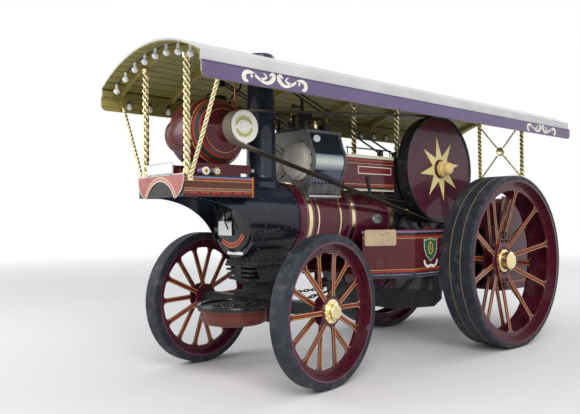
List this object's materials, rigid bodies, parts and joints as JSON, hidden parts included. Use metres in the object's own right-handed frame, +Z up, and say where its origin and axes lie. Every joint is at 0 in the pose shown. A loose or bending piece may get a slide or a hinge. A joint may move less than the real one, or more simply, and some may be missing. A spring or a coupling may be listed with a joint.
{
  "type": "steam traction engine",
  "caption": "Steam road locomotive with a full-length canopy, a dynamo ahead of the chimney driven by a belt from the flywheel, twisted columns and spoked wheels.",
  "frame": {"origin": "on the ground, at the middle of the canopy's length and of the engine's width", "axes": "+Z up, the engine faces -Y, +X is the engine's left-hand side"},
  "size_m": [2.454, 6.39, 3.4499],
  "materials": {
    "maroon": "gloss coach paint",
    "black": "satin black paint",
    "casting": "oiled dark iron",
    "bright_steel": "polished steel",
    "brass": "polished brass",
    "plate": "painted blank plate",
    "cream": "cream paint",
    "purple": "gloss purple paint",
    "olive": "varnished boards",
    "bulb": "clear glass",
    "belt": "dark belting",
    "rust": "red-brown paint",
    "tyre": "solid rubber"
  },
  "bodies": {
    "root": {"boiler": "maroon", "boiler_bands": "brass", "smokebox": "black", "chimney": "black", "perch_bracket": "black", "cylinder_block": "casting", "cylinder_covers": "bright_steel", "safety_valves": "brass", "motion_covers": "maroon", "motion_rods": "bright_steel", "hornplates": "black", "hind_axle": "casting", "belly_tank": "maroon", "ashpan": "black", "tender": "maroon", "footplate_fittings": "brass", "drawbar": "black", "platform": "maroon", "front_plates": "plate", "dynamo_frame": "maroon", "canopy_roof": "cream", "canopy_boards": "purple", "canopy_ribs": "olive", "columns": "brass", "bulbs": "bulb", "drive_belt": "belt", "steering_brackets": "black"},
    "door": {"smokebox_door": "black"},
    "firedoor": {"firehole_door": "casting"},
    "crank": {"crankshaft": "bright_steel", "flywheel": "maroon"},
    "dynamo": {"dynamo_pulley": "cream"},
    "forecarriage": {"fore_axle": "black", "fore_tray": "rust"},
    "roller": {"steering_roller": "black"},
    "handwheel": {"steering_wheel": "casting"},
    "chain_l": {"chain_left": "casting"},
    "chain_r": {"chain_right": "casting"},
    "front_left": {"front_tyre_left": "tyre", "front_wheel_left": "maroon"},
    "front_right": {"front_tyre_right": "tyre", "front_wheel_right": "maroon"},
    "hind_left": {"hind_tyre_left": "tyre", "hind_wheel_left": "maroon"},
    "hind_right": {"hind_tyre_right": "tyre", "hind_wheel_right": "maroon"}
  },
  "joints": [
    {"name": "steer", "type": "hinge", "parent": "root", "child": "forecarriage", "pos_m": [0, -1.887, 0.9], "axis": [0, 0, 1], "range_deg": [-36, 18]},
    {"name": "front_left_spin", "type": "hinge", "parent": "forecarriage", "child": "front_left", "pos_m": [0.88349, -1.74707, 0.734], "axis": [0.9877, 0.1564, 0], "continuous": true},
    {"name": "front_right_spin", "type": "hinge", "parent": "forecarriage", "child": "front_right", "pos_m": [-0.88349, -2.02693, 0.734], "axis": [0.9877, 0.1564, 0], "continuous": true},
    {"name": "hind_left_spin", "type": "hinge", "parent": "root", "child": "hind_left", "pos_m": [1.0195, 1.233, 1.065], "axis": [1, 0, 0], "continuous": true},
    {"name": "hind_right_spin", "type": "hinge", "parent": "root", "child": "hind_right", "pos_m": [-1.0195, 1.233, 1.065], "axis": [1, 0, 0], "continuous": true},
    {"name": "crank_spin", "type": "hinge", "parent": "root", "child": "crank", "pos_m": [0, 0.515, 2.217], "axis": [1, 0, 0], "continuous": true},
    {"name": "dynamo_spin", "type": "hinge", "parent": "root", "child": "dynamo", "pos_m": [0, -2.493, 2.472], "axis": [1, 0, 0], "continuous": true},
    {"name": "smokebox_door_hinge", "type": "hinge", "parent": "root", "child": "door", "pos_m": [-0.322, -2.219, 1.61], "axis": [0, 0, 1], "range_deg": [-55, 0]},
    {"name": "firehole_door_hinge", "type": "hinge", "parent": "root", "child": "firedoor", "pos_m": [-0.15, 0.8423, 1.51], "axis": [0, 0, 1], "range_deg": [0, 95]},
    {"name": "roller_turn", "type": "hinge", "parent": "root", "child": "roller", "pos_m": [0, -0.657, 0.83], "axis": [1, 0, 0], "range_deg": [-80, 155]},
    {"name": "hand_wheel_turn", "type": "hinge", "parent": "root", "child": "handwheel", "pos_m": [0.456, 1.353, 1.82], "axis": [0, 0.8739, 0.4861], "range_deg": [-440, 220]},
    {"name": "chain_left_slide", "type": "slide", "parent": "root", "child": "chain_l", "axis": [0.0169, 0.9873, 0.1582], "range_m": [-0.21, 0.11]},
    {"name": "chain_right_slide", "type": "slide", "parent": "root", "child": "chain_r", "axis": [0.0087, 0.9998, 0.0157], "range_m": [-0.11, 0.21]}
  ],
  "couplings": [
    {"joint": "dynamo_spin", "follows": "crank_spin", "ratio": 4.4},
    {"joint": "roller_turn", "follows": "steer", "ratio": -4.14},
    {"joint": "hand_wheel_turn", "follows": "steer", "ratio": 12},
    {"joint": "chain_left_slide", "follows": "steer", "m_per_rad": 0.32},
    {"joint": "chain_right_slide", "follows": "steer", "m_per_rad": -0.32}
  ]
}
